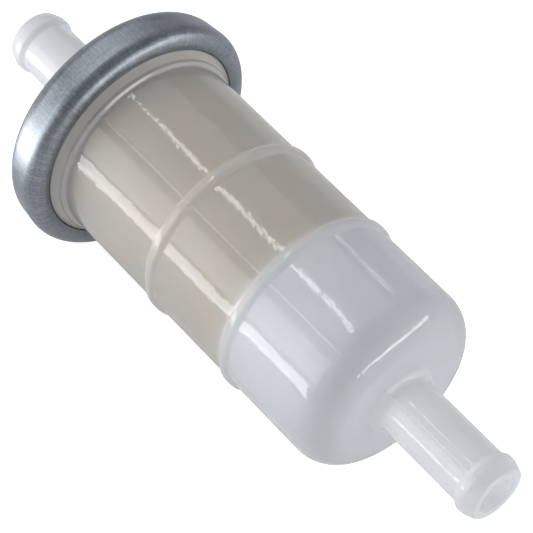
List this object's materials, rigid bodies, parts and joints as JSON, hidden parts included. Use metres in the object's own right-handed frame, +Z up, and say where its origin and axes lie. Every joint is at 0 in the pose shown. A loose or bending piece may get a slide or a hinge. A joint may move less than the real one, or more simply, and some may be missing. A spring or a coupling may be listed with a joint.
{
  "type": "fuel filter",
  "caption": "In-line fuel filter: a milky plastic bowl and cap with a beaded hose stub at each end, clamped by a crimped steel ring round a pleated paper element.",
  "frame": {"origin": "on the filter's axis, midway between the two ribs that locate the holding band", "axes": "+X along the filter's axis from the cap towards the bowl's dome, +Z up with the paper's seam at the bottom"},
  "size_m": [0.1063, 0.04, 0.04],
  "materials": {
    "milky_plastic": "glossy moulded translucent nylon, milky, slightly blue-grey",
    "zinc_steel": "zinc-plated sheet steel, fine scratches along and across the roll",
    "gasket_rubber": "matt black nitrile rubber",
    "element_nylon": "satin moulded natural nylon",
    "filter_paper": "resin-treated tan filter paper, fibrous",
    "potting_adhesive": "cured amber adhesive, slightly glossy",
    "clip_steel": "tinned sheet steel strip"
  },
  "bodies": {
    "root": {"bowl": "milky_plastic", "cap": "milky_plastic", "crimp_ring": "zinc_steel", "bowl_gasket": "gasket_rubber", "cap_gasket": "gasket_rubber", "element_top_plate": "element_nylon", "element_bottom_plate": "element_nylon", "pleated_paper": "filter_paper", "core_tube": "element_nylon", "top_potting": "potting_adhesive", "bottom_potting": "potting_adhesive", "seam_clip": "clip_steel"}
  },
  "joints": []
}
